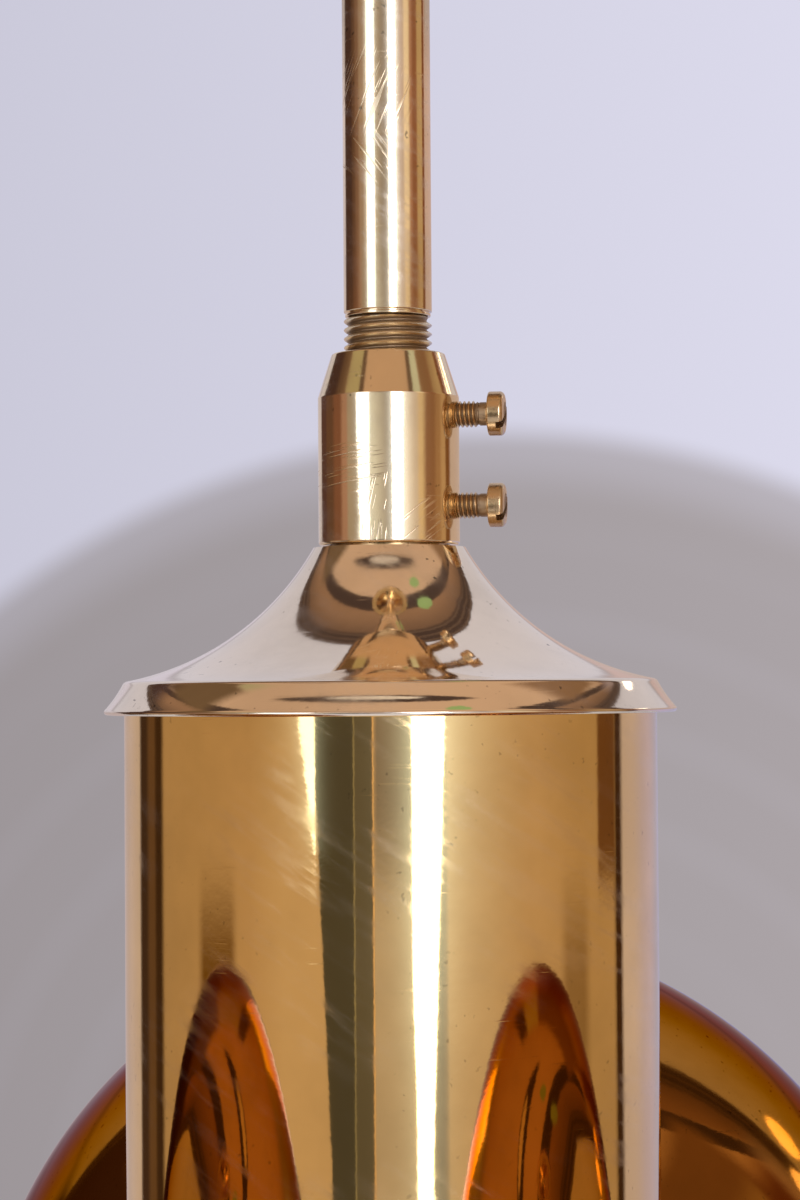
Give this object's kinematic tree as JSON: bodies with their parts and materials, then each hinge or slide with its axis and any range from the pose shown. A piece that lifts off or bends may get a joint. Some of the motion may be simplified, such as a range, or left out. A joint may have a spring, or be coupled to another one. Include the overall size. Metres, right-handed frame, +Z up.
{
  "type": "chandelier",
  "caption": "Polished brass chandelier: a slim stem and trumpet-capped cylinder carry round swivelling globes, open below, with screw lampholders.",
  "frame": {"origin": "centre of the hanging eye's bore", "axes": "+Z up along the stem, +Y towards the first globe, +X close to the direction of the clamp screws"},
  "size_m": [0.3236, 0.299, 0.5486],
  "materials": {
    "polished_brass": "mirror polished, lacquered",
    "aged_brass": "polished, dull with age",
    "plated_steel": "zinc plated",
    "porcelain": "glazed",
    "opal_glass": "opal",
    "lamp_cap": "nickel plated"
  },
  "bodies": {
    "suspension": {"hanging_eye": "polished_brass", "eye_lock_nut": "polished_brass", "stem_tube": "polished_brass", "coupler": "polished_brass", "terminal_bracket": "plated_steel", "terminal_block": "porcelain"},
    "clamp_screw_upper": {"clamp_screw_upper": "aged_brass"},
    "clamp_screw_lower": {"clamp_screw_lower": "aged_brass"},
    "canopy": {"canopy_shell": "polished_brass", "canopy_collar": "polished_brass"},
    "canopy_screw": {"canopy_screw": "aged_brass"},
    "hub": {"centre_tube": "polished_brass", "neck_ring": "polished_brass", "trumpet_cap": "polished_brass", "cap_nut": "polished_brass", "centring_disc": "plated_steel", "body_tube": "polished_brass", "bottom_plate": "polished_brass", "finial": "polished_brass", "arm_nipple_1": "polished_brass", "arm_nipple_2": "polished_brass", "arm_nipple_3": "polished_brass", "arm_collar_1": "polished_brass", "arm_collar_2": "polished_brass", "arm_collar_3": "polished_brass", "arm_nut_1": "polished_brass", "arm_nut_2": "polished_brass", "arm_nut_3": "polished_brass", "spring_washer_1": "plated_steel", "spring_washer_2": "plated_steel", "spring_washer_3": "plated_steel", "swivel_nut_1": "polished_brass", "swivel_nut_2": "polished_brass", "swivel_nut_3": "polished_brass"},
    "globe_1": {"globe_shell_1": "polished_brass", "seat_washer_1": "plated_steel", "lamp_bracket_1": "plated_steel", "lampholder_1": "porcelain", "holder_nut_1": "plated_steel"},
    "lamp_1": {"lamp_bulb_1": "opal_glass", "lamp_cap_1": "lamp_cap"},
    "globe_2": {"globe_shell_2": "polished_brass", "seat_washer_2": "plated_steel", "lamp_bracket_2": "plated_steel", "lampholder_2": "porcelain", "holder_nut_2": "plated_steel"},
    "lamp_2": {"lamp_bulb_2": "opal_glass", "lamp_cap_2": "lamp_cap"},
    "globe_3": {"globe_shell_3": "polished_brass", "seat_washer_3": "plated_steel", "lamp_bracket_3": "plated_steel", "lampholder_3": "porcelain", "holder_nut_3": "plated_steel"},
    "lamp_3": {"lamp_bulb_3": "opal_glass", "lamp_cap_3": "lamp_cap"}
  },
  "joints": [
    {"name": "hub_turn", "type": "hinge", "parent": "suspension", "child": "hub", "pos_m": [0, 0, -0.341], "axis": [0, 0, 1], "range_deg": [-170, 170]},
    {"name": "canopy_slide", "type": "slide", "parent": "suspension", "child": "canopy", "axis": [0, 0, -1], "range_m": [0, 0.26]},
    {"name": "canopy_screw_turn", "type": "hinge", "parent": "canopy", "child": "canopy_screw", "pos_m": [0, 0, -0.046], "axis": [0, -1, 0], "range_deg": [0, 720]},
    {"name": "clamp_screw_upper_turn", "type": "hinge", "parent": "suspension", "child": "clamp_screw_upper", "pos_m": [0, 0, -0.3329], "axis": [0.9962, -0.0872, 0], "range_deg": [0, 720]},
    {"name": "clamp_screw_lower_turn", "type": "hinge", "parent": "suspension", "child": "clamp_screw_lower", "pos_m": [0, 0, -0.3432], "axis": [0.9962, -0.0872, 0], "range_deg": [0, 720]},
    {"name": "globe_1_swivel", "type": "hinge", "parent": "hub", "child": "globe_1", "pos_m": [0, 0.106, -0.47025], "axis": [0, 1, 0], "range_deg": [-90, 90]},
    {"name": "globe_2_swivel", "type": "hinge", "parent": "hub", "child": "globe_2", "pos_m": [-0.0918, -0.053, -0.47025], "axis": [-0.866, -0.5, 0], "range_deg": [-90, 90]},
    {"name": "globe_3_swivel", "type": "hinge", "parent": "hub", "child": "globe_3", "pos_m": [0.0918, -0.053, -0.47025], "axis": [0.866, -0.5, 0], "range_deg": [-90, 90]},
    {"name": "lamp_1_unscrew", "type": "slide", "parent": "globe_1", "child": "lamp_1", "axis": [0, 0, -1], "range_m": [0, 0.09]},
    {"name": "lamp_2_unscrew", "type": "slide", "parent": "globe_2", "child": "lamp_2", "axis": [0, 0, -1], "range_m": [0, 0.09]},
    {"name": "lamp_3_unscrew", "type": "slide", "parent": "globe_3", "child": "lamp_3", "axis": [0, 0, -1], "range_m": [0, 0.09]}
  ]
}
